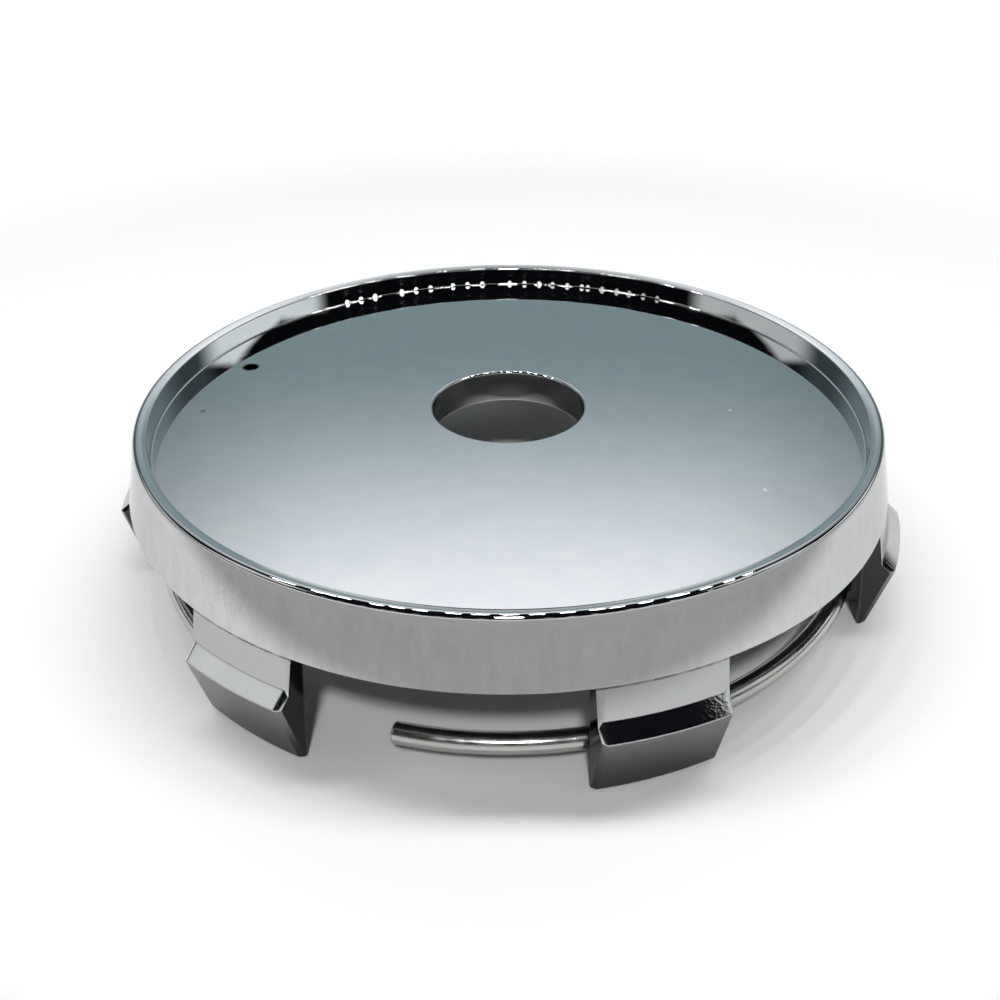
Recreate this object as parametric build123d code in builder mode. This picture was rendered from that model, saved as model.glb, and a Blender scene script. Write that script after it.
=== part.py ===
# Wheel centre cap with a recessed face, a centre hole, seven snap legs and a spring wire ring.
# Millimetres. The axis of the cap is Z, the face looks up (+Z), z = 0 is the underside of the rim.
import os
from math import cos, radians, sin

from build123d import *

# Rim and face
rim_radius = 30.0
rim_height = 4.93
rim_lean = 1.15
lip_width = 0.9
lip_fall = 0.31
recess_depth = 2.05
hole_radius = 6.2

# Edges of the rim and face
lip_round = 0.35
lip_chamfer = 0.1
recess_chamfer = 0.12
hole_chamfer = 0.2
rim_chamfer = 0.12

# Snap legs
leg_count = 7
leg_width = 8.5
leg_start_angle = 90
leg_step = 0.08
leg_wall = 1.02
leg_root_depth = 0.6
neck_flare = 0.5
neck_length = 2.16
barb_reach = 1.0
barb_fall = 0.84
barb_chamfer = 0.25
tip_length = 8.2
tip_inset = 1.2
tip_wall = 0.5
tip_rise = 0.2

# Spring wire ring
wire_diameter = 1.4
wire_inset = 0.24
wire_rise = 2.27
wire_chamfer = 0.2
ring_gap = 15
ring_gap_angle = -104.4

# Grooved wire seats on the inside of the legs
seat_width = 5.0
seat_height = 3.0
seat_bite = 0.46
wire_clearance = 0.05

# Sizes worked out from the ones above
lip_radius = rim_radius - rim_lean
recess_radius = lip_radius - lip_width
lip_inner_z = rim_height - lip_fall
face_z = rim_height - recess_depth
neck_top_radius = rim_radius - leg_step
neck_radius = neck_top_radius + neck_flare
leg_inner_radius = neck_top_radius - leg_wall
leg_root_radius = neck_top_radius - leg_root_depth * rim_lean / rim_height
barb_radius = neck_radius + barb_reach
barb_z = -neck_length - barb_fall
tip_outer_radius = barb_radius - tip_inset
tip_inner_radius = tip_outer_radius - tip_wall
tip_outer_z = -tip_length + tip_rise
wire_radius = wire_diameter / 2
ring_outer_radius = leg_inner_radius - wire_inset
ring_radius = ring_outer_radius - wire_radius
ring_z = -tip_length + wire_rise
seat_inner_radius = ring_outer_radius - seat_bite
seat_outer_radius = tip_outer_radius - tip_wall / 2

# Cap body: one moulded piece
with BuildPart() as cap_body:
    # Ring with the section of the legs
    with BuildSketch(Plane.XZ):
        with BuildLine():
            Polyline(
                (leg_inner_radius, leg_root_depth),
                (leg_root_radius, leg_root_depth),
                (neck_top_radius, 0),
                (neck_radius, -neck_length),
                (barb_radius, barb_z),
                (tip_outer_radius, tip_outer_z),
                (tip_inner_radius, -tip_length),
                (leg_inner_radius, 0),
                close=True,
            )
        make_face()
    revolve(axis=Axis.Z)
    # Cut down to separate legs with parallel sides
    with BuildSketch(Plane.XY.offset(leg_root_depth)):
        with PolarLocations((leg_inner_radius + barb_radius) / 2, leg_count, start_angle=leg_start_angle):
            Rectangle(2 * (barb_radius - leg_inner_radius), leg_width)
    extrude(amount=-(tip_length + leg_root_depth), mode=Mode.INTERSECT)
    # Soft ends on the barbs
    barb_ends = cap_body.edges().filter_by(
        lambda edge: tip_outer_z < edge.center().Z < -neck_length
        and abs((edge @ 0).Z - (edge @ 1).Z) > barb_fall / 2
        and Vector(edge.center().X, edge.center().Y).length > tip_outer_radius
    )
    chamfer(barb_ends, length=barb_chamfer)
    # Wire seats, each with a groove
    with BuildSketch(Plane.XY.offset(ring_z + seat_height / 2)):
        with PolarLocations(
            (seat_inner_radius + seat_outer_radius) / 2, leg_count, start_angle=leg_start_angle
        ):
            Rectangle(seat_outer_radius - seat_inner_radius, seat_width)
    extrude(amount=-seat_height)
    with BuildSketch(Plane.XZ):
        with Locations((ring_radius, ring_z)):
            Rectangle(wire_diameter + 2 * wire_clearance, wire_diameter + 2 * wire_clearance)
    revolve(axis=Axis.Z, mode=Mode.SUBTRACT)
    # Rim, lip, recessed face and centre hole
    with BuildSketch(Plane.XZ) as rim_section:
        with BuildLine():
            Polyline(
                (hole_radius, 0),
                (rim_radius, 0),
                (lip_radius, rim_height),
                (recess_radius, lip_inner_z),
                (recess_radius, face_z),
                (hole_radius, face_z),
                close=True,
            )
        make_face()
        fillet(rim_section.vertices().sort_by_distance((lip_radius, rim_height))[0], lip_round)
        for corner, length in (
            ((recess_radius, lip_inner_z), lip_chamfer),
            ((recess_radius, face_z), recess_chamfer),
            ((hole_radius, face_z), hole_chamfer),
            ((hole_radius, 0), hole_chamfer),
            ((rim_radius, 0), rim_chamfer),
        ):
            chamfer(rim_section.vertices().sort_by_distance(corner)[0], length)
    revolve(axis=Axis.Z)

cap_body.part.label = "cap_body"

# Spring ring: round wire, open at one place
start_angle = ring_gap_angle + ring_gap / 2
ring_plane = Plane(
    origin=(0, 0, 0),
    x_dir=(cos(radians(start_angle)), sin(radians(start_angle)), 0),
    z_dir=(sin(radians(start_angle)), -cos(radians(start_angle)), 0),
)
with BuildPart() as spring_ring:
    with BuildSketch(ring_plane):
        with Locations((ring_radius, ring_z)):
            Circle(wire_radius)
    revolve(axis=Axis.Z, revolution_arc=360 - ring_gap)
    wire_ends = spring_ring.faces().filter_by(GeomType.PLANE).edges()
    chamfer(wire_ends, length=wire_chamfer)

spring_ring.part.label = "spring_ring"

os.makedirs("parts", exist_ok=True)
export_step(cap_body.part, "parts/cap_body.step")
export_step(spring_ring.part, "parts/spring_ring.step")
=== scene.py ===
from math import cos, pi, radians, sin, sqrt, tan

import bpy
from mathutils import Matrix, Vector


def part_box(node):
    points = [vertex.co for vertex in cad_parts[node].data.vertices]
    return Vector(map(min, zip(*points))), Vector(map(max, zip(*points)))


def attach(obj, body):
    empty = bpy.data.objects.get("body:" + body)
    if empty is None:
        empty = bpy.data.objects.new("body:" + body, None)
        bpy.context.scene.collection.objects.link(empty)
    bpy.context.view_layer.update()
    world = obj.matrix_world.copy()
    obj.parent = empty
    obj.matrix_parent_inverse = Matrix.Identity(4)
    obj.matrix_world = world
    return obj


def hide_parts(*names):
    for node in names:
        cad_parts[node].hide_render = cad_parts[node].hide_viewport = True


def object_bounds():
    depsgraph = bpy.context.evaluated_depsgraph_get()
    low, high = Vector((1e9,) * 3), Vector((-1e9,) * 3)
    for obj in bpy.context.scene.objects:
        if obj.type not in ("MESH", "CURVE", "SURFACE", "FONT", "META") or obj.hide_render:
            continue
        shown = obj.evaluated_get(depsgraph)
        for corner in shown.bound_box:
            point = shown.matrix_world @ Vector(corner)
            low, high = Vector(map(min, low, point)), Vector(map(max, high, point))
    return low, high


MM = 0.001

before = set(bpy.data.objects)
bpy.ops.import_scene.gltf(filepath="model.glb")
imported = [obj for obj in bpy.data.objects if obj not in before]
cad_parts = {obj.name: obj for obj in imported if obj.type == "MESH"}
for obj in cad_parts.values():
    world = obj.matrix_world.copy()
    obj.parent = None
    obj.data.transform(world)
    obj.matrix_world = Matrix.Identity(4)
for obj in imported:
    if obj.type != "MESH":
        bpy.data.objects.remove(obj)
cad_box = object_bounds()
body_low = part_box("cap_body")[0] / MM
ring_low, ring_high = (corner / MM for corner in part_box("spring_ring"))
floor_z = cad_box[0][2]

# Camera, fitted to the photograph
CAMERA_EYE = Vector((9.76, -68.30, 38.78)) * MM
CAMERA_TURN = radians(8.1)
CAMERA_PITCH = radians(30.25)
CAMERA_ROLL = radians(0.30)
CAMERA_CLIP = 1 * MM
IMAGE_SIDE = 1000
FOCAL_PIXELS = 946
CENTRE_PIXEL = (509, 450)
SENSOR_WIDTH = 36
camera_turn = Matrix.Rotation(CAMERA_TURN, 4, "Z")


def add_camera():
    data = bpy.data.cameras.new("camera")
    data.sensor_width = SENSOR_WIDTH
    data.lens = FOCAL_PIXELS / IMAGE_SIDE * SENSOR_WIDTH
    data.shift_x = 0.5 - CENTRE_PIXEL[0] / IMAGE_SIDE
    data.shift_y = CENTRE_PIXEL[1] / IMAGE_SIDE - 0.5
    data.clip_start = CAMERA_CLIP
    camera = bpy.data.objects.new("camera", data)
    tip = Matrix.Rotation(radians(90) - CAMERA_PITCH, 4, "X")
    roll = Matrix.Rotation(-CAMERA_ROLL, 4, "Z")
    camera.matrix_world = Matrix.Translation(CAMERA_EYE) @ camera_turn @ tip @ roll
    bpy.context.scene.collection.objects.link(camera)
    bpy.context.scene.camera = camera


# Rim and face in millimetres, as in the solids
RIM_RADIUS = 30.0
RIM_HEIGHT = 4.93
RIM_LEAN = 1.15
LIP_WIDTH = 0.9
LIP_FALL = 0.31
RECESS_DEPTH = 2.05
HOLE_RADIUS = 6.2
LIP_RADIUS = RIM_RADIUS - RIM_LEAN
RECESS_RADIUS = LIP_RADIUS - LIP_WIDTH
LIP_INNER_Z = RIM_HEIGHT - LIP_FALL
FACE_Z = RIM_HEIGHT - RECESS_DEPTH

# Snap legs
LEG_COUNT = 7
LEG_WIDTH = 8.5
LEG_START = radians(90)
LEG_ROOT = 0.6
LEG_STEP = 0.08
LEG_WALL = 1.02
NECK_FLARE = 0.5
NECK_LENGTH = 2.16
BARB_REACH = 1.0
BARB_FALL = 0.84
BARB_CHAMFER = 0.25
TIP_INSET = 1.2
TIP_WALL = 0.5
TIP_RISE = 0.2
NECK_TOP_RADIUS = RIM_RADIUS - LEG_STEP
NECK_RADIUS = NECK_TOP_RADIUS + NECK_FLARE
NECK_Z = -NECK_LENGTH
LEG_INNER_RADIUS = NECK_TOP_RADIUS - LEG_WALL
BARB_RADIUS = NECK_RADIUS + BARB_REACH
BARB_Z = NECK_Z - BARB_FALL
TIP_OUTER_RADIUS = BARB_RADIUS - TIP_INSET
TIP_INNER_RADIUS = TIP_OUTER_RADIUS - TIP_WALL
TIP_Z = body_low.z

# Spring wire ring and the grooved seats that hold it
WIRE_INSET = 0.24
WIRE_CLEARANCE = 0.05
RING_GAP = radians(15)
RING_GAP_ANGLE = radians(-104.4)
SEAT_WIDTH = 5.0
SEAT_HEIGHT = 3.0
SEAT_BITE = 0.46
WIRE_RADIUS = (ring_high.z - ring_low.z) / 2
RING_RADIUS = LEG_INNER_RADIUS - WIRE_INSET - WIRE_RADIUS
RING_Z = (ring_high.z + ring_low.z) / 2
SEAT_INNER_RADIUS = RING_RADIUS + WIRE_RADIUS - SEAT_BITE
SEAT_OUTER_RADIUS = TIP_OUTER_RADIUS - TIP_WALL / 2
GROOVE_HALF = WIRE_RADIUS + WIRE_CLEARANCE

# Rounding of the edges
LIP_ROUND = 0.35
LIP_INNER_ROUND = 0.1
RECESS_ROUND = 0.12
HOLE_ROUND = 0.2
RIM_EDGE = 0.12
EDGE_ROUND = 0.04
NECK_ROUND = 0.1
BARB_ROUND = 0.06
TIP_OUTER_ROUND = 0.08
TIP_INNER_ROUND = 0.06
SEAT_ROUND = 0.12
WIRE_END_ROUND = 0.2

# Fineness of the meshes, and the angles from which an edge shows as sharp
LATHE_STEPS = 360
ARC_STEPS = 8
SECTION_ARC_STEPS = 5
END_ARC_STEPS = 4
LEG_STATIONS = 16
RING_STEPS = 260
WIRE_STEPS = 32
CAP_SHARP_ANGLE = radians(24)
WIRE_SHARP_ANGLE = radians(40)


def rounded(corners, steps):
    """Closed outline through (x, y, round) corners, each turned into an arc of that radius."""
    points = []
    for index, (x, y, size) in enumerate(corners):
        corner = Vector((x, y))
        to_last = (Vector(corners[index - 1][:2]) - corner).normalized()
        to_next = (Vector(corners[(index + 1) % len(corners)][:2]) - corner).normalized()
        if not size:
            points.append(corner)
            continue
        half = to_last.angle(to_next) / 2
        centre = corner + (to_last + to_next).normalized() * size / sin(half)
        start = corner + to_last * size / tan(half) - centre
        turn = pi - 2 * half
        if to_last.cross(to_next) > 0:
            turn = -turn
        for step in range(steps + 1):
            points.append(centre + Matrix.Rotation(turn * step / steps, 2) @ start)
    return points


def inset(corners, amounts):
    """The corners moved inwards: the side that follows each corner moves by that corner's amount.

    The corners run clockwise with the radius to the right and the height up.
    """
    starts = [Vector(corner[:2]) for corner in corners]
    lines = []
    for index, start in enumerate(starts):
        along = (starts[(index + 1) % len(starts)] - start).normalized()
        inwards = Vector((along.y, -along.x))
        lines.append((start + inwards * amounts[index], along))
    moved = []
    for index, corner in enumerate(corners):
        start, along = lines[index]
        last_start, last_along = lines[index - 1]
        reach = (last_start - start).cross(last_along) / along.cross(last_along)
        point = start + along * reach
        moved.append((point.x, point.y, corner[2]))
    return moved


def build_mesh(name, rings, close_rings, cap_ends):
    """Mesh object through rings of points with the same number of points each."""
    count = len(rings[0])
    points = [point for ring in rings for point in ring]
    faces = []
    last = len(rings) if close_rings else len(rings) - 1
    for station in range(last):
        here = station * count
        after = (station + 1) % len(rings) * count
        for index in range(count):
            beside = (index + 1) % count
            faces.append((here + index, here + beside, after + beside, after + index))
    if cap_ends:
        faces.append(tuple(reversed(range(count))))
        faces.append(tuple(range(len(points) - count, len(points))))
    mesh = bpy.data.meshes.new(name)
    mesh.from_pydata(points, [], faces)
    mesh.validate()
    piece = bpy.data.objects.new(name, mesh)
    bpy.context.scene.collection.objects.link(piece)
    return piece


def make_rim():
    """Rim, lip, recessed face and centre hole as one turned outline."""
    lean = RIM_EDGE * RIM_LEAN / RIM_HEIGHT
    corners = [
        (HOLE_RADIUS, FACE_Z, HOLE_ROUND),
        (RECESS_RADIUS, FACE_Z, RECESS_ROUND),
        (RECESS_RADIUS, LIP_INNER_Z, LIP_INNER_ROUND),
        (LIP_RADIUS, RIM_HEIGHT, LIP_ROUND),
        (RIM_RADIUS - lean, RIM_EDGE, EDGE_ROUND),
        (RIM_RADIUS - RIM_EDGE, 0, EDGE_ROUND),
        (HOLE_RADIUS, 0, HOLE_ROUND),
    ]
    outline = rounded(corners, ARC_STEPS)
    rings = []
    for step in range(LATHE_STEPS):
        angle = 2 * pi * step / LATHE_STEPS
        rings.append([Vector((p.x * cos(angle), p.x * sin(angle), p.y)) for p in outline])
    return build_mesh("rim", rings, True, False)


def end_profile(width, chamfer):
    """Stations across a leg or seat, as (place, inset of the chamfered sides)."""
    half = width / 2
    flat = [Vector((half * (2 * step / LEG_STATIONS - 1), 0)) for step in range(LEG_STATIONS + 1)]
    corners = [
        (0, 0, 0),
        (half - chamfer, 0, EDGE_ROUND),
        (half, chamfer, EDGE_ROUND),
        (half, chamfer + EDGE_ROUND, 0),
    ]
    edge = rounded(corners, END_ARC_STEPS)[1:]
    inner = [point for point in flat if abs(point.x) < edge[0].x - EDGE_ROUND]
    start = [Vector((-point.x, point.y)) for point in reversed(edge)]
    return start + inner + edge


def across_leg(name, corners, chamfered_sides, fixed_sides, width, chamfer, turn):
    """A leg or seat: its section swept across its width about the cap's axis.

    A side has the number of the corner that it follows.
    """
    out = Vector((cos(turn), sin(turn), 0))
    along = Vector((-sin(turn), cos(turn), 0))
    rings = []
    for place, depth in end_profile(width, chamfer):
        past = max(0.0, abs(place) - width / 2 + EDGE_ROUND)
        amounts = [EDGE_ROUND - sqrt(max(0.0, EDGE_ROUND**2 - past**2))] * len(corners)
        for side in chamfered_sides:
            amounts[side] = depth
        for side in fixed_sides:
            amounts[side] = 0.0
        section = rounded(inset(corners, amounts), SECTION_ARC_STEPS)
        rings.append(
            [out * sqrt(p.x**2 - place**2) + along * place + Vector((0, 0, p.y)) for p in section]
        )
    return build_mesh(name, rings, False, True)


def make_leg(turn):
    """Snap leg with a flared neck and a barb whose ends are chamfered."""
    lean = LEG_ROOT * RIM_LEAN / RIM_HEIGHT
    corners = [
        (LEG_INNER_RADIUS, LEG_ROOT, 0),
        (NECK_TOP_RADIUS - lean, LEG_ROOT, 0),
        (NECK_RADIUS, NECK_Z, NECK_ROUND),
        (BARB_RADIUS, BARB_Z, BARB_ROUND),
        (TIP_OUTER_RADIUS, TIP_Z + TIP_RISE, TIP_OUTER_ROUND),
        (TIP_INNER_RADIUS, TIP_Z, TIP_INNER_ROUND),
        (LEG_INNER_RADIUS, 0, 0),
    ]
    barb_sides = (2, 3)
    root_sides = (0,)
    return across_leg("leg", corners, barb_sides, root_sides, LEG_WIDTH, BARB_CHAMFER, turn)


def make_seat(turn):
    """Grooved block on the inside of a leg, which holds the wire."""
    top = RING_Z + SEAT_HEIGHT / 2
    bottom = RING_Z - SEAT_HEIGHT / 2
    groove_radius = RING_RADIUS + GROOVE_HALF
    corners = [
        (SEAT_INNER_RADIUS, top, SEAT_ROUND),
        (SEAT_OUTER_RADIUS, top, 0),
        (SEAT_OUTER_RADIUS, bottom, 0),
        (SEAT_INNER_RADIUS, bottom, SEAT_ROUND),
        (SEAT_INNER_RADIUS, RING_Z - GROOVE_HALF, SEAT_ROUND),
        (groove_radius, RING_Z - GROOVE_HALF, SEAT_ROUND),
        (groove_radius, RING_Z + GROOVE_HALF, SEAT_ROUND),
        (SEAT_INNER_RADIUS, RING_Z + GROOVE_HALF, SEAT_ROUND),
    ]
    sides_in_leg = (1,)
    return across_leg("seat", corners, (), sides_in_leg, SEAT_WIDTH, EDGE_ROUND, turn)


def joined(pieces):
    """One object from several that don't touch each other."""
    with bpy.context.temp_override(active_object=pieces[0], selected_editable_objects=pieces):
        bpy.ops.object.join()
    return pieces[0]


def unite(piece, other):
    """Adds another closed mesh to a piece and removes what lies inside."""
    step = piece.modifiers.new("unite", "BOOLEAN")
    step.operation = "UNION"
    step.solver = "EXACT"
    step.object = other
    graph = bpy.context.evaluated_depsgraph_get()
    mesh = bpy.data.meshes.new_from_object(piece.evaluated_get(graph))
    piece.modifiers.clear()
    piece.data = mesh
    bpy.data.objects.remove(other)


def finish_piece(piece, name, node, material, sharp_angle):
    """Smooth shading, true size in metres, material and place in the frame."""
    piece.name = name
    mesh = piece.data
    mesh.name = name
    mesh.transform(Matrix.Scale(MM, 4))
    mesh.materials.clear()
    mesh.materials.append(material)
    mesh.shade_smooth()
    mesh.set_sharp_from_angle(angle=sharp_angle)
    normals = piece.modifiers.new("even_normals", "WEIGHTED_NORMAL")
    normals.keep_sharp = True
    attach(piece, "root")
    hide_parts(node)


def add_cap(material):
    """Rim, legs and seats as one piece."""
    cap = make_rim()
    turns = [LEG_START + 2 * pi * index / LEG_COUNT for index in range(LEG_COUNT)]
    unite(cap, joined([make_leg(turn) for turn in turns]))
    unite(cap, joined([make_seat(turn) for turn in turns]))
    finish_piece(cap, "cap", "cap_body", material, CAP_SHARP_ANGLE)


def add_ring(material):
    """Open ring of round wire with softened ends."""
    sweep = 2 * pi - RING_GAP
    start = RING_GAP_ANGLE + RING_GAP / 2
    stations = [(sweep * step / RING_STEPS, WIRE_RADIUS) for step in range(1, RING_STEPS)]
    for step in range(ARC_STEPS + 1):
        lift = pi / 2 * step / ARC_STEPS
        distance = WIRE_END_ROUND * (1 - sin(lift)) / RING_RADIUS
        size = WIRE_RADIUS - WIRE_END_ROUND * (1 - cos(lift))
        stations.append((distance, size))
        stations.append((sweep - distance, size))
    stations.sort()
    rings = []
    for distance, size in stations:
        angle = start + distance
        out = Vector((cos(angle), sin(angle), 0))
        ring = []
        for step in range(WIRE_STEPS):
            around = 2 * pi * step / WIRE_STEPS
            radius = RING_RADIUS + size * cos(around)
            ring.append(out * radius + Vector((0, 0, RING_Z + size * sin(around))))
        rings.append(ring)
    ring = build_mesh("ring", rings, False, True)
    finish_piece(ring, "wire_ring", "spring_ring", material, WIRE_SHARP_ANGLE)


# Places of the factor and of the two colours among the sockets of a mix node
MIX_INPUTS = (0, 6, 7)
MIX_OUTPUT = 2


class Nodes:
    """Short ways to add and join shader nodes."""

    def __init__(self, tree):
        self.tree = tree
        self.tree.nodes.clear()

    def add(self, kind, **settings):
        node = self.tree.nodes.new(kind)
        for name, value in settings.items():
            setattr(node, name, value)
        return node

    def put(self, socket, value):
        if isinstance(value, bpy.types.NodeSocket):
            self.tree.links.new(value, socket)
        else:
            socket.default_value = value

    def math(self, operation, first, second=0.0):
        node = self.add("ShaderNodeMath", operation=operation)
        self.put(node.inputs[0], first)
        self.put(node.inputs[1], second)
        return node.outputs[0]

    def product(self, first, *others):
        for other in others:
            first = self.math("MULTIPLY", first, other)
        return first

    def opposite(self, mask):
        return self.math("SUBTRACT", 1.0, mask)

    def vector_math(self, operation, first, second=(0, 0, 0), output="Vector"):
        node = self.add("ShaderNodeVectorMath", operation=operation)
        self.put(node.inputs[0], first)
        self.put(node.inputs[1], second)
        return node.outputs[output]

    def ramp(self, value, low, high, at_low=0.0, at_high=1.0, kind="SMOOTHSTEP"):
        node = self.add("ShaderNodeMapRange", interpolation_type=kind)
        for name, number in (
            ("Value", value),
            ("From Min", low),
            ("From Max", high),
            ("To Min", at_low),
            ("To Max", at_high),
        ):
            self.put(node.inputs[name], number)
        return node.outputs["Result"]

    def rise(self, value, border):
        """0 before the border and 1 past it, where a border is a (start, end) pair."""
        return self.ramp(value, *border)

    def fall(self, value, border):
        """1 before the border and 0 past it."""
        return self.ramp(value, *border, 1.0, 0.0)

    def mix(self, factor, first, second):
        node = self.add("ShaderNodeMix", data_type="RGBA")
        for index, value in zip(MIX_INPUTS, (factor, first, second)):
            self.put(node.inputs[index], value)
        return node.outputs[MIX_OUTPUT]

    def split(self, vector):
        node = self.add("ShaderNodeSeparateXYZ")
        self.put(node.inputs[0], vector)
        return node.outputs

    def join(self, x, y, z):
        node = self.add("ShaderNodeCombineXYZ")
        for socket, value in zip(node.inputs, (x, y, z)):
            self.put(socket, value)
        return node.outputs[0]

    def noise(self, vector, scale, detail, roughness=0.5):
        node = self.add("ShaderNodeTexNoise")
        self.put(node.inputs["Vector"], vector)
        for name, number in (("Scale", scale), ("Detail", detail), ("Roughness", roughness)):
            self.put(node.inputs[name], number)
        return node.outputs[0]

    def bump(self, height, distance, normal=None):
        node = self.add("ShaderNodeBump")
        self.put(node.inputs["Height"], height)
        self.put(node.inputs["Distance"], distance)
        if normal:
            self.put(node.inputs["Normal"], normal)
        return node.outputs[0]

    def millimetres(self):
        """Place in the part's frame in millimetres, its distance from the axis, angle about it and height."""
        coordinates = self.add("ShaderNodeTexCoord")
        scale = self.add("ShaderNodeVectorMath", operation="SCALE")
        self.put(scale.inputs[0], coordinates.outputs["Object"])
        scale.inputs["Scale"].default_value = 1 / MM
        place = scale.outputs[0]
        x, y, z = self.split(place)
        radius = self.math("SQRT", self.math("ADD", self.product(x, x), self.product(y, y)))
        return place, radius, self.math("ARCTAN2", y, x), z


def new_material(name):
    material = bpy.data.materials.new(name)
    material.use_nodes = True
    n = Nodes(material.node_tree)
    output = n.add("ShaderNodeOutputMaterial")
    return material, n, output


# Marks on the face in millimetres: place, size and strength
FACE_PITS = (((-23.69, 4.15, FACE_Z), 0.78, 1.0), ((-24.46, -4.38, FACE_Z), 0.30, 0.35))
FACE_FLECKS = (((19.64, -10.53, FACE_Z), 0.20, 0.35), ((17.95, 1.35, FACE_Z), 0.16, 0.3))
# Wobble, core and edge of a mark, in parts of its size
MARK_WOBBLE = 0.8
MARK_CORE = 1.1
MARK_EDGE = 1.5


def spots(n, place, marks, wobble):
    """Mask of small round marks with uneven edges."""
    mask = None
    for centre, size, strength in marks:
        distance = n.vector_math("DISTANCE", place, centre, "Value")
        uneven = n.math("ADD", distance, n.product(wobble, size * MARK_WOBBLE))
        spot = n.ramp(uneven, size * MARK_CORE, size * MARK_EDGE, strength, 0.0)
        mask = n.math("MAXIMUM", mask, spot) if mask else spot
    return mask


def border(at, start, end):
    """Border of a zone near a size of the cap, in millimetres."""
    return at + start, at + end


# Borders of the plating's zones and of the painted shade, in distance from the axis or in height
BAND_INNER = border(LIP_RADIUS, 0.05, 0.25)
BAND_LOWER = border(NECK_Z, -0.04, 0.16)
BARB_LOWER = border(BARB_Z, -0.1, 0.0)
BARB_UPPER = border(NECK_Z, 0.0, 0.1)
BARB_INNER = border(NECK_RADIUS, -0.12, 0.08)
WALL_INNER = border(RECESS_RADIUS, -2.95, -1.45)
WALL_OUTER = border(RECESS_RADIUS, 0.15, 0.35)
WALL_LOWER = border(FACE_Z, -0.2, -0.1)
LIP_LOWER = border(LIP_INNER_Z, -0.22, -0.07)
LIP_OUTER = border(LIP_RADIUS, -0.43, -0.33)
STEP_LOWER = (-0.12, -0.04)
STEP_INNER = border(NECK_TOP_RADIUS, -0.12, -0.07)
UNDERSIDE = (0.02, 0.1)
HOLE_EDGE = border(HOLE_RADIUS, 0.25, 0.4)
LEG_BACK = border(LEG_INNER_RADIUS, 0.05, 0.2)
LEG_BACK_SLOPE = 0.1
LEG_TOP = (-0.1, -0.02)
NECK_UPPER = (-0.04, 0.0)
NECK_LOWER = border(NECK_Z, -0.14, 0.06)
UNDER_BARB = border(BARB_Z, -0.15, -0.02)
# How squarely a face looks away from the axis, from 0 to 1: the sides of the legs stay below this border and
# get painted shade
SIDE_FACING = (0.35, 0.55)
# Painted shade and dirt in the step below the rim: its noise, the range of that noise and the least share of
# the darkening
STEP_NOISE = (0.9, 4.0, 0.7)
STEP_NOISE_RANGE = (0.3, 0.6)
STEP_LEAST = 0.3
# Rough patch in the plating, on the end of one barb, and how far it reaches
ROUGH_PATCH = (17.0, -26.2, -2.6)
PATCH_REACH = (2.2, 3.8)


def plating_zones(n, place, radius, z):
    """Masks of the zones where the plating differs from that of the face, and of those where shade is painted
    into its colour.
    """
    facing = n.add("ShaderNodeNewGeometry").outputs["Normal"]
    outwards = n.vector_math("NORMALIZE", n.vector_math("MULTIPLY", place, (1, 1, 0)))
    facing_out = n.math("ABSOLUTE", n.vector_math("DOT_PRODUCT", facing, outwards, "Value"))
    below = n.fall(z, UNDERSIDE)
    behind_legs = n.fall(n.math("ADD", radius, n.product(z, LEG_BACK_SLOPE)), LEG_BACK)
    # Painted shade and dirt in the step below the rim, patchy by noise
    step_shade_and_dirt = n.ramp(n.noise(place, *STEP_NOISE), *STEP_NOISE_RANGE, STEP_LEAST, 1.0)
    return {
        "band": n.product(n.rise(radius, BAND_INNER), n.rise(z, BAND_LOWER)),
        "barb": n.product(n.rise(z, BARB_LOWER), n.fall(z, BARB_UPPER), n.rise(radius, BARB_INNER)),
        "wall": n.product(n.rise(radius, WALL_INNER), n.rise(z, WALL_LOWER), n.fall(radius, WALL_OUTER)),
        "lip": n.product(n.rise(z, LIP_LOWER), n.fall(radius, LIP_OUTER)),
        # The step, the underside, the sides of the legs and the undersides of the barbs get painted shade;
        # the step also dirt
        "step": n.product(n.rise(z, STEP_LOWER), below, n.rise(radius, STEP_INNER), step_shade_and_dirt),
        "inside": n.product(below, behind_legs, n.rise(radius, HOLE_EDGE)),
        "leg_side": n.product(n.fall(facing_out, SIDE_FACING), n.fall(z, LEG_TOP)),
        "neck": n.product(n.fall(z, NECK_UPPER), n.rise(z, NECK_LOWER)),
        "under_barb": n.fall(z, UNDER_BARB),
    }


# Noise in the plating: scale per millimetre, detail and roughness
HAZE_NOISE = (0.35, 4.0, 0.6)
GRAIN_NOISE = (7.0, 3.0)
PEEL_NOISE = (0.6, 1.0)
STREAK_NOISE = (1.1, 3.0, 0.6)
PIMPLE_NOISE = (4.0, 2.0)
STREAK_STRETCH = 0.22
# Colours of the plating: bright on the face and darker on the necks, with painted shade in the step below the
# rim, under the barbs, on the sides of the legs and on the underside
HAZE_RANGE = (0.3, 0.7)
BRIGHT_COLOURS = ((0.535, 0.547, 0.552, 1), (0.565, 0.570, 0.572, 1))
STREAK_RANGE = (0.35, 0.75)
STREAK_COLOUR = (0.50, 0.51, 0.505, 1)
NECK_SHARE = 0.85
NECK_COLOUR = (0.40, 0.41, 0.41, 1)
# Painted shade and dirt in the step below the rim
STEP_DIRT_AND_SHADE = (0.14, 0.14, 0.135, 1)
# Painted shade under the barbs, from the tips up to the barbs
TIP_SHADE_COLOUR = (0.05, 0.055, 0.05, 1)
UNDER_BARB_SHADE_COLOUR = (0.19, 0.2, 0.195, 1)
# Painted shade on the sides of the legs
LEG_SIDE_SHADE_COLOUR = (0.05, 0.052, 0.05, 1)
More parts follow.
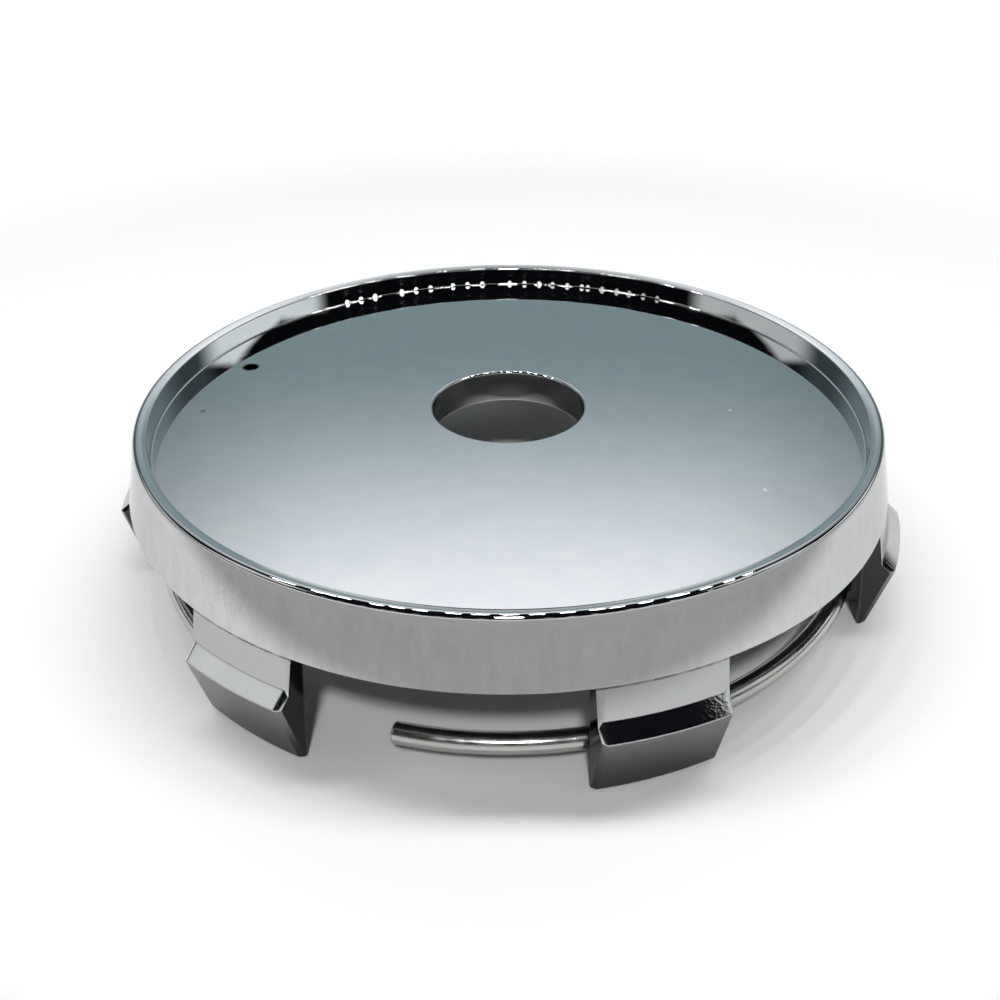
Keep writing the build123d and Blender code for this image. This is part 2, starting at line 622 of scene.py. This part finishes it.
# Painted shade on the underside of the cap
INSIDE_SHADE_COLOUR = (0.10, 0.102, 0.10, 1)
PIT_COLOUR = (0.003, 0.003, 0.003, 1)
FLECK_COLOUR = (0.80, 0.78, 0.76, 1)
EDGE_TINT = (0.8, 0.8, 0.8, 1)
PIT_EDGE_TINT = (0, 0, 0, 1)
# Roughness of the plating, and what the zones add to it or take from it
GRAIN_SHARE = 0.4
ROUGHNESS_NOISE_RANGE = (0.4, 1.0)
ROUGHNESS = (0.012, 0.035)
ADDED_ROUGHNESS = {"barb": 0.05, "lip": 0.2, "under_barb": 0.1, "inside": 0.35}
WALL_POLISH = 0.8
FLECK_ROUGHNESS = 0.5
# Heights of the relief in metres
PEEL_HEIGHT = 2.0e-6
STREAK_HEIGHT = 2.2e-6
PIMPLE_HEIGHT = 8.0e-6


def chrome_material():
    """Bright plating: slight orange peel, faint drawn streaks on the band, pits and dust on the face, and
    painted shade below the rim, on the legs and on the underside.
    """
    material, n, output = new_material("chrome_plating")
    place, radius, angle, z = n.millimetres()
    zone = plating_zones(n, place, radius, z)
    haze = n.noise(place, *HAZE_NOISE)
    grain = n.noise(place, *GRAIN_NOISE)
    peel = n.product(n.noise(place, *PEEL_NOISE), n.opposite(zone["wall"]))
    round_band = n.join(n.product(angle, RIM_RADIUS), n.product(z, STREAK_STRETCH), radius)
    streaks = n.product(n.noise(round_band, *STREAK_NOISE), zone["band"])
    near_patch = n.fall(n.vector_math("DISTANCE", place, ROUGH_PATCH, "Value"), PATCH_REACH)
    pimples = n.product(n.noise(place, *PIMPLE_NOISE), zone["barb"], near_patch)
    pits = spots(n, place, FACE_PITS, grain)
    flecks = spots(n, place, FACE_FLECKS, grain)

    tint = n.mix(n.rise(haze, HAZE_RANGE), *BRIGHT_COLOURS)
    # Painted shade under the barbs, darkest at the tips
    under_barb_shade = n.mix(n.ramp(z, TIP_Z, BARB_Z), TIP_SHADE_COLOUR, UNDER_BARB_SHADE_COLOUR)
    for mask, colour in (
        (n.rise(streaks, STREAK_RANGE), STREAK_COLOUR),
        (n.product(zone["neck"], NECK_SHARE), NECK_COLOUR),
        # Painted shade in the step, under the barbs, on the sides of the legs and on the underside
        (zone["step"], STEP_DIRT_AND_SHADE),
        (zone["under_barb"], under_barb_shade),
        (zone["leg_side"], LEG_SIDE_SHADE_COLOUR),
        (zone["inside"], INSIDE_SHADE_COLOUR),
        (pits, PIT_COLOUR),
        (flecks, FLECK_COLOUR),
    ):
        tint = n.mix(mask, tint, colour)

    uneven = n.math("ADD", haze, n.product(grain, GRAIN_SHARE))
    roughness = n.ramp(uneven, *ROUGHNESS_NOISE_RANGE, *ROUGHNESS)
    for name, added in ADDED_ROUGHNESS.items():
        roughness = n.math("ADD", roughness, n.product(zone[name], added))
    roughness = n.product(roughness, n.opposite(n.product(zone["wall"], WALL_POLISH)))
    roughness = n.math("MAXIMUM", roughness, n.product(flecks, FLECK_ROUGHNESS))

    normal = n.bump(peel, PEEL_HEIGHT)
    normal = n.bump(streaks, STREAK_HEIGHT, normal)
    normal = n.bump(pimples, PIMPLE_HEIGHT, normal)

    shader = n.add("ShaderNodeBsdfPrincipled")
    n.put(shader.inputs["Base Color"], tint)
    n.put(shader.inputs["Metallic"], n.opposite(flecks))
    n.put(shader.inputs["Roughness"], roughness)
    n.put(shader.inputs["Specular Tint"], n.mix(pits, EDGE_TINT, PIT_EDGE_TINT))
    n.put(shader.inputs["Normal"], normal)
    n.put(output.inputs["Surface"], shader.outputs[0])
    return material


# Spring wire: streaks that are long along it and narrow across it, and blotches of roughness
WIRE_ALONG = 2.0
WIRE_ACROSS = 6.0
WIRE_STREAK_NOISE = (1.6, 4.0, 0.65)
WIRE_BLOTCH_NOISE = (0.8, 3.0)
WIRE_NOISE_RANGE = (0.3, 0.7)
WIRE_COLOURS = ((0.42, 0.425, 0.40, 1), (0.56, 0.565, 0.54, 1))
WIRE_ROUGHNESS = (0.14, 0.26)
WIRE_STREAK_HEIGHT = 3.0e-6


def wire_material():
    """Drawn spring wire: fine streaks that run along it."""
    material, n, output = new_material("spring_wire")
    place, radius, angle, z = n.millimetres()
    along = n.join(n.product(angle, WIRE_ALONG), n.product(radius, WIRE_ACROSS), n.product(z, WIRE_ACROSS))
    streaks = n.noise(along, *WIRE_STREAK_NOISE)
    blotches = n.noise(place, *WIRE_BLOTCH_NOISE)
    shader = n.add("ShaderNodeBsdfPrincipled")
    n.put(shader.inputs["Base Color"], n.mix(n.rise(streaks, WIRE_NOISE_RANGE), *WIRE_COLOURS))
    n.put(shader.inputs["Metallic"], 1.0)
    n.put(shader.inputs["Roughness"], n.ramp(blotches, *WIRE_NOISE_RANGE, *WIRE_ROUGHNESS))
    n.put(shader.inputs["Normal"], n.bump(streaks, WIRE_STREAK_HEIGHT))
    n.put(output.inputs["Surface"], shader.outputs[0])
    return material


# Light tent round the object
TENT_BELT = (1, 1, 1, 1)
TENT_DARK = (0.006, 0.007, 0.009, 1)
BACK_LOW = (0.315, 0.435, 0.465, 1)
BACK_HIGH = (1.55, 1.59, 1.66, 1)
BACK_TOP = (0.64, 0.65, 0.66, 1)
SIDE_LOW_LEFT = (1.25, 1.3, 1.3, 1)
SIDE_LOW_RIGHT = (1.9, 2.0, 2.0, 1)
SIDE_HIGH = (0.94, 0.96, 0.96, 1)
# Its borders as directions in degrees: heights, and turns to either side from straight away from the camera.
# The top of the strip is measured from the slope, and the top of the belt from the belt's own height.
DEGREES_PER_RADIAN = 180 / pi
BACK_RISE = (23.5, 42.5)
BACK_TOP_RISE = (44, 55)
BACK_ENDS = (12, 40)
BACK_END_SHADE = 0.7
CEILING_RISE = (58, 63)
BACK_TO_SIDE = (46, 62)
SLOPE_TURNS = (66, 90)
SLOPE_HEIGHTS = (24.0, 21.6)
STRIP_TOP = (-0.3, 0.2)
STRIP_FOOT = (15.5, 18.5)
STRIP_END = (103, 111)
WINDOW_START = (82, 90)
WINDOW_END = (114, 119)
WINDOW_FOOT = (23.6, 24.8)
WINDOW_TOP = (42, 47)
BELT_TURNS = (115, 140)
BELT_HEIGHTS = (4.0, 12.0)
BELT_TOP = (0, 3)
# Where the left side turns into the right one, in parts of a direction's length
LEFT_TO_RIGHT = (-0.05, 0.05)


def add_world():
    """Light tent: a back wall, side walls, a dark ceiling and a white belt that goes on from the floor."""
    world = bpy.data.worlds.new("light_tent")
    bpy.context.scene.world = world
    world.use_nodes = True
    n = Nodes(world.node_tree)
    coordinates = n.add("ShaderNodeTexCoord")
    turn = n.add("ShaderNodeVectorRotate", rotation_type="Z_AXIS")
    turn.inputs["Angle"].default_value = -CAMERA_TURN
    n.put(turn.inputs["Vector"], coordinates.outputs["Generated"])
    across, away, up = n.split(turn.outputs[0])
    elevation = n.product(n.math("ARCSINE", up), DEGREES_PER_RADIAN)
    azimuth = n.product(n.math("ABSOLUTE", n.math("ARCTAN2", across, away)), DEGREES_PER_RADIAN)

    # Back wall, brighter upwards and dimmer towards its ends
    back = n.mix(n.rise(elevation, BACK_RISE), BACK_LOW, BACK_HIGH)
    back = n.mix(n.rise(elevation, BACK_TOP_RISE), back, BACK_TOP)
    back = n.mix(n.ramp(azimuth, *BACK_ENDS, 0.0, BACK_END_SHADE), back, TENT_DARK)
    back = n.mix(n.rise(elevation, CEILING_RISE), back, TENT_DARK)
    # Side walls: a low bright strip whose top slopes down towards the camera, and a window above it
    slope = n.ramp(azimuth, *SLOPE_TURNS, *SLOPE_HEIGHTS, "LINEAR")
    below_slope = n.fall(n.math("SUBTRACT", elevation, slope), STRIP_TOP)
    strip = n.product(below_slope, n.fall(azimuth, STRIP_END), n.rise(elevation, STRIP_FOOT))
    window = n.product(n.rise(azimuth, WINDOW_START), n.fall(azimuth, WINDOW_END))
    window = n.product(window, n.rise(elevation, WINDOW_FOOT), n.fall(elevation, WINDOW_TOP))
    side = n.mix(strip, TENT_DARK, n.mix(n.rise(across, LEFT_TO_RIGHT), SIDE_LOW_LEFT, SIDE_LOW_RIGHT))
    side = n.mix(window, side, SIDE_HIGH)

    wall = n.mix(n.rise(azimuth, BACK_TO_SIDE), back, side)
    above_belt = n.math("SUBTRACT", elevation, n.ramp(azimuth, *BELT_TURNS, *BELT_HEIGHTS))
    tent = n.mix(n.fall(above_belt, BELT_TOP), wall, TENT_BELT)
    background = n.add("ShaderNodeBackground")
    n.put(background.inputs["Color"], tent)
    output = n.add("ShaderNodeOutputWorld")
    n.put(output.inputs["Surface"], background.outputs[0])


# Row of small lamps overhead, staggered so that its shadow has a soft edge
ROW_COUNT = 23
ROW_STEP = 16.7 * MM
ROW_AWAY = 35 * MM
ROW_STAGGER = (-15 * MM, 0, 15 * MM)
ROW_HEIGHT = 250 * MM
ROW_LAMP_RADIUS = 5 * MM
ROW_LAMP_POWER = 0.095
# Fill lamp above the camera
FILL_PLACE = Vector((0, -300, 360)) * MM
FILL_RADIUS = 25 * MM
FILL_POWER = 3.1
# Arc of dim bars on the camera's side, in groups of three, with turns in degrees
BAR_GROUP_TURNS = (-54.2, -37.5, -23.5, -6.6, 15.8, 36.3, 58.8)
BAR_TURNS_IN_GROUP = (-5.8, 0, 5.8)
BAR_REACH = 268 * MM
BAR_HEIGHT = 112.4 * MM
BAR_RISE = 6 * MM
BAR_SIZE = (10 * MM, 4.8 * MM)
BAR_POWER = 0.0006
BAR_FADE = 0.8


def add_lamp(name, kind, location, power):
    data = bpy.data.lights.new(name, kind)
    data.energy = power
    lamp = bpy.data.objects.new(name, data)
    lamp.location = camera_turn @ location
    bpy.context.scene.collection.objects.link(lamp)
    return lamp


def add_bar(turn):
    """One bar of the arc, which looks at the middle of the object."""
    height = BAR_HEIGHT + BAR_RISE * (1 - cos(turn))
    place = Vector((BAR_REACH * sin(turn), -BAR_REACH * cos(turn), height))
    lamp = add_lamp("bar_lamp", "AREA", place, BAR_POWER * (1 + BAR_FADE * sin(turn)))
    lamp.data.shape = "ELLIPSE"
    lamp.data.size, lamp.data.size_y = BAR_SIZE
    lamp.rotation_euler = (-lamp.location).to_track_quat("-Z", "Y").to_euler()


def add_lamps():
    for index in range(ROW_COUNT):
        across = (index - (ROW_COUNT - 1) / 2) * ROW_STEP
        away = ROW_AWAY + ROW_STAGGER[index % len(ROW_STAGGER)]
        lamp = add_lamp("row_lamp", "POINT", Vector((across, away, ROW_HEIGHT)), ROW_LAMP_POWER)
        lamp.data.shadow_soft_size = ROW_LAMP_RADIUS
    lamp = add_lamp("fill_lamp", "POINT", FILL_PLACE, FILL_POWER)
    lamp.data.shadow_soft_size = FILL_RADIUS
    for group_turn in BAR_GROUP_TURNS:
        for turn in BAR_TURNS_IN_GROUP:
            add_bar(radians(group_turn + turn))


# Floor: pale, with painted shade in front of the object, and white further away
FLOOR_SIDE = 4.0
FLOOR_COLOUR = (0.92, 0.92, 0.92, 1)
FLOOR_FRONT_SHADE = (0.47, 0.47, 0.465, 1)
FRONT_AWAY = 12 * MM
FRONT_RISE = (57 * MM, 67 * MM)
FRONT_BACK_EDGE = (0, 22 * MM)
NEAR_AWAY = 30 * MM
NEAR_TO_FAR = (75 * MM, 115 * MM)
FRONT_TO_WHITE = (145 * MM, 190 * MM)


def add_floor():
    """Pale floor that keeps the shadow near the object, has painted shade in front where the rim mirrors it,
    and ends white.
    """
    bpy.ops.mesh.primitive_plane_add(size=FLOOR_SIDE, location=(0, 0, floor_z))
    floor = bpy.context.object
    floor.name = "floor"
    material, n, output = new_material("floor")
    place = n.add("ShaderNodeNewGeometry").outputs["Position"]
    near_centre = camera_turn @ Vector((0, NEAR_AWAY, floor_z))
    front_centre = camera_turn @ Vector((0, FRONT_AWAY, floor_z))
    distance = n.vector_math("DISTANCE", place, near_centre, "Value")
    from_front = n.vector_math("DISTANCE", place, front_centre, "Value")
    away = n.vector_math("DOT_PRODUCT", place, camera_turn @ Vector((0, 1, 0)), "Value")
    # Painted shade on the floor in front of the object, which the rim band mirrors
    front = n.product(n.rise(from_front, FRONT_RISE), n.fall(away, FRONT_BACK_EDGE))
    rays = n.add("ShaderNodeLightPath").outputs
    seen = n.math("MAXIMUM", rays["Is Camera Ray"], rays["Is Glossy Ray"])
    seen = n.math("MAXIMUM", seen, rays["Is Transmission Ray"])
    far = n.product(n.rise(distance, NEAR_TO_FAR), n.opposite(front))
    far = n.product(n.math("MAXIMUM", far, n.rise(distance, FRONT_TO_WHITE)), seen)
    shader = n.add("ShaderNodeBsdfDiffuse")
    n.put(shader.inputs["Color"], n.mix(front, FLOOR_COLOUR, FLOOR_FRONT_SHADE))
    white = n.add("ShaderNodeEmission")
    blend = n.add("ShaderNodeMixShader")
    for socket, value in zip(blend.inputs, (far, shader.outputs[0], white.outputs[0])):
        n.put(socket, value)
    n.put(output.inputs["Surface"], blend.outputs[0])
    floor.data.materials.append(material)


add_camera()
add_world()
add_lamps()
add_floor()
add_cap(chrome_material())
add_ring(wire_material())

bpy.context.scene.view_settings.view_transform = "Standard"
